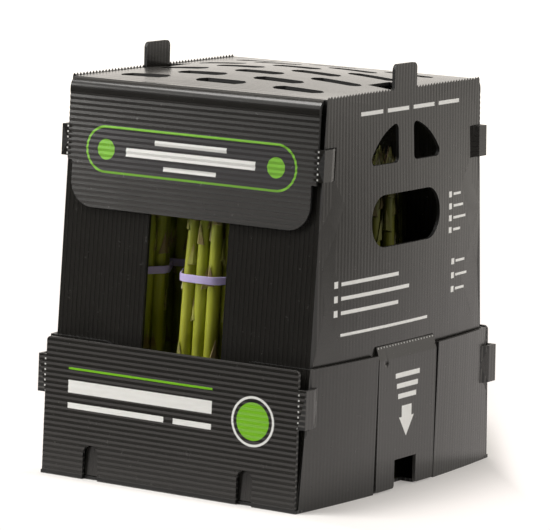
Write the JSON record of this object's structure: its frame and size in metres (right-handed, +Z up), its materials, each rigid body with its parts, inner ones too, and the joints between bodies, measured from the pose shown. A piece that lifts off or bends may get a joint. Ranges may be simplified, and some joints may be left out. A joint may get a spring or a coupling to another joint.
{
  "type": "vegetable box",
  "caption": "Folded fluted-sheet vegetable box: a vented top with ribbed hoods, hand holes and pull tabs lifts out of a base tray that holds banded bunches of asparagus.",
  "frame": {"origin": "on the ground under the middle of the base tray", "axes": "+Z up, the ribbed front with its window faces -Y, the pull tabs are on +X and -X"},
  "size_m": [0.2304, 0.257, 0.298],
  "materials": {
    "fluted_sheet": "satin black fluted plastic sheet, ribbed along its flutes",
    "asparagus": "fresh green stalk, satin, with pointed scales",
    "rubber_band": "lavender rubber, matte"
  },
  "bodies": {
    "base_tray": {"base_tray": "fluted_sheet", "asparagus_bunch_1": "asparagus", "asparagus_bunch_2": "asparagus", "asparagus_bunch_3": "asparagus", "asparagus_bunch_4": "asparagus", "asparagus_bunch_5": "asparagus", "asparagus_bunch_6": "asparagus", "asparagus_bunch_7": "asparagus", "asparagus_bunch_8": "asparagus", "asparagus_bunch_9": "asparagus", "asparagus_bunch_10": "asparagus", "asparagus_bunch_11": "asparagus", "rubber_band_1": "rubber_band", "rubber_band_2": "rubber_band", "rubber_band_3": "rubber_band", "rubber_band_4": "rubber_band", "rubber_band_5": "rubber_band", "rubber_band_6": "rubber_band", "rubber_band_7": "rubber_band", "rubber_band_8": "rubber_band", "rubber_band_9": "rubber_band", "rubber_band_10": "rubber_band", "rubber_band_11": "rubber_band"},
    "box_top": {"box_top": "fluted_sheet"},
    "pull_tab_left": {"pull_tab_left": "fluted_sheet"},
    "pull_tab_right": {"pull_tab_right": "fluted_sheet"}
  },
  "joints": [
    {"name": "box_top_lift", "type": "slide", "parent": "base_tray", "child": "box_top", "axis": [0, 0, 1], "range_m": [0, 0.25]},
    {"name": "pull_tab_left_fold", "type": "hinge", "parent": "box_top", "child": "pull_tab_left", "pos_m": [-0.1123, 0, 0.104], "axis": [0, 1, 0], "range_deg": [0, 120]},
    {"name": "pull_tab_right_fold", "type": "hinge", "parent": "box_top", "child": "pull_tab_right", "pos_m": [0.1123, 0, 0.104], "axis": [0, -1, 0], "range_deg": [0, 120]}
  ]
}
